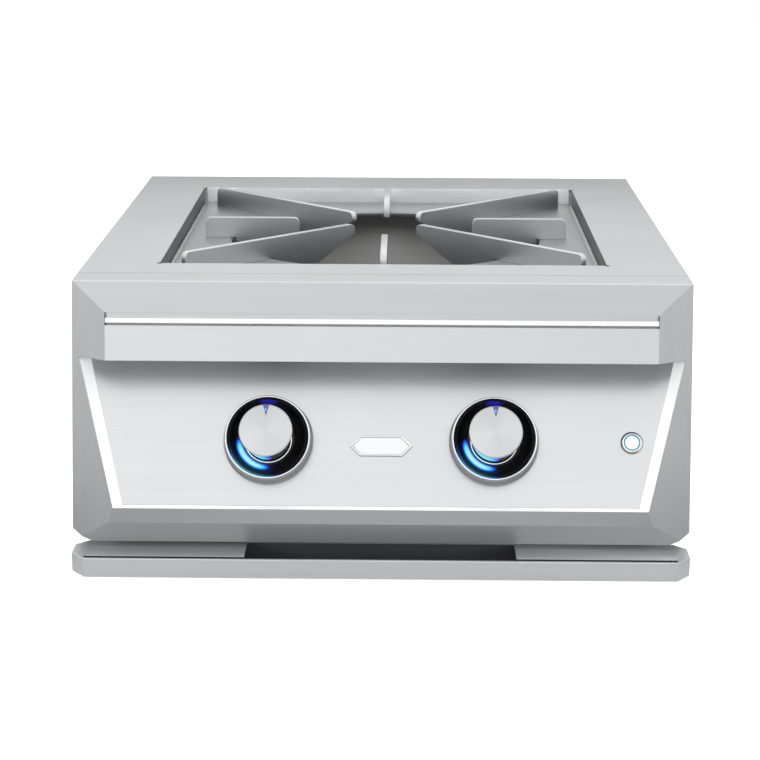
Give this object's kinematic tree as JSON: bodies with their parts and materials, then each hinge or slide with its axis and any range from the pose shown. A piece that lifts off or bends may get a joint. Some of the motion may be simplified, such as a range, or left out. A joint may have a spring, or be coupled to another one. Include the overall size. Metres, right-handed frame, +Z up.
{
  "type": "built in side burner",
  "caption": "Drop-in gas side burner with a flat deck, lift-off grate, leaning control panel, turning knobs, lit button and pull-out drip tray.",
  "frame": {"origin": "middle of the footprint at the level of the base flanges", "axes": "+X to the cook's right, +Y away from the cook, +Z up"},
  "size_m": [0.61, 0.727, 0.2896],
  "materials": {
    "brushed_sheet": "brushed along the width",
    "polished_trim": "mirror polished",
    "galvanised": "mill galvanised sheet",
    "cast_burner": "as cast, heat resistant",
    "brass_parts": "machined",
    "valve_alloy": "die cast",
    "steel_tube": "drawn tube",
    "knob_black": "satin black",
    "blue_lens": "lit lens",
    "button_white": "lit, glossy",
    "module_black": "moulded",
    "ceramic_white": "glazed insulator",
    "rubber_black": "moulded"
  },
  "bodies": {
    "cabinet": {"top_deck": "brushed_sheet", "front_brow": "brushed_sheet", "left_end_trim": "brushed_sheet", "right_end_trim": "brushed_sheet", "front_sill": "brushed_sheet", "control_panel": "brushed_sheet", "brow_bar": "polished_trim", "left_cheek": "polished_trim", "right_cheek": "polished_trim", "badge_plate": "polished_trim", "left_knob_bezel": "polished_trim", "right_knob_bezel": "polished_trim", "button_housing": "polished_trim", "left_side_panel": "galvanised", "right_side_panel": "galvanised", "rear_panel": "galvanised", "left_tray_rail": "galvanised", "right_tray_rail": "galvanised", "firebox_front_wall": "galvanised", "firebox_rear_wall": "galvanised", "firebox_left_wall": "galvanised", "firebox_right_wall": "galvanised", "firebox_floor": "galvanised", "burner_bracket": "galvanised", "rail_screws": "galvanised", "outer_ring_burner": "cast_burner", "inner_ring_burner": "cast_burner", "left_orifice": "brass_parts", "right_orifice": "brass_parts", "gas_inlet_fitting": "brass_parts", "left_valve_body": "valve_alloy", "right_valve_body": "valve_alloy", "outer_venturi": "steel_tube", "inner_venturi": "steel_tube", "gas_manifold": "steel_tube", "gas_inlet_pipe": "steel_tube", "left_halo_lens": "blue_lens", "right_halo_lens": "blue_lens", "button_light_ring": "blue_lens", "ignition_module": "module_black", "light_transformer": "module_black", "igniter_electrode": "ceramic_white", "power_gland": "rubber_black"},
    "grate": {"grate_plate": "brushed_sheet", "diagonal_fins": "brushed_sheet", "cross_fins": "brushed_sheet"},
    "drip_tray": {"tray_pan": "galvanised", "tray_handle": "brushed_sheet"},
    "left_valve_rotor": {"left_valve_plug": "brass_parts"},
    "right_valve_rotor": {"right_valve_plug": "brass_parts"},
    "left_knob_set": {"left_knob": "knob_black", "left_knob_cap": "polished_trim", "left_valve_stem": "steel_tube"},
    "right_knob_set": {"right_knob": "knob_black", "right_knob_cap": "polished_trim", "right_valve_stem": "steel_tube"},
    "light_button": {"light_button": "button_white"},
    "outer_shutter": {"outer_air_shutter": "steel_tube"},
    "inner_shutter": {"inner_air_shutter": "steel_tube"}
  },
  "joints": [
    {"name": "grate_lift", "type": "slide", "parent": "cabinet", "child": "grate", "axis": [0, 0, 1], "range_m": [0, 0.15]},
    {"name": "drip_tray_slide", "type": "slide", "parent": "cabinet", "child": "drip_tray", "axis": [0, -1, 0], "range_m": [0, 0.42]},
    {"name": "left_knob_turn", "type": "hinge", "parent": "cabinet", "child": "left_valve_rotor", "pos_m": [-0.1115, -0.31104, 0.12823], "axis": [0, -0.8746, 0.4848], "range_deg": [0, 210]},
    {"name": "left_knob_push", "type": "slide", "parent": "left_valve_rotor", "child": "left_knob_set", "axis": [0, 0.8746, -0.4848], "range_m": [0, 0.003], "stiffness_N_per_m": 1500, "springref_m": -0.004},
    {"name": "right_knob_turn", "type": "hinge", "parent": "cabinet", "child": "right_valve_rotor", "pos_m": [0.1115, -0.31104, 0.12823], "axis": [0, -0.8746, 0.4848], "range_deg": [0, 210]},
    {"name": "right_knob_push", "type": "slide", "parent": "right_valve_rotor", "child": "right_knob_set", "axis": [0, 0.8746, -0.4848], "range_m": [0, 0.003], "stiffness_N_per_m": 1500, "springref_m": -0.004},
    {"name": "light_button_push", "type": "slide", "parent": "cabinet", "child": "light_button", "axis": [0, 0.8746, -0.4848], "range_m": [0, 0.0025], "stiffness_N_per_m": 800, "springref_m": -0.003},
    {"name": "outer_air_shutter_turn", "type": "hinge", "parent": "cabinet", "child": "outer_shutter", "pos_m": [-0.1115, -0.2333, 0.11174], "axis": [0, 1, 0], "range_deg": [0, 90]},
    {"name": "inner_air_shutter_turn", "type": "hinge", "parent": "cabinet", "child": "inner_shutter", "pos_m": [0.1115, -0.2333, 0.11174], "axis": [0, 1, 0], "range_deg": [0, 90]}
  ]
}
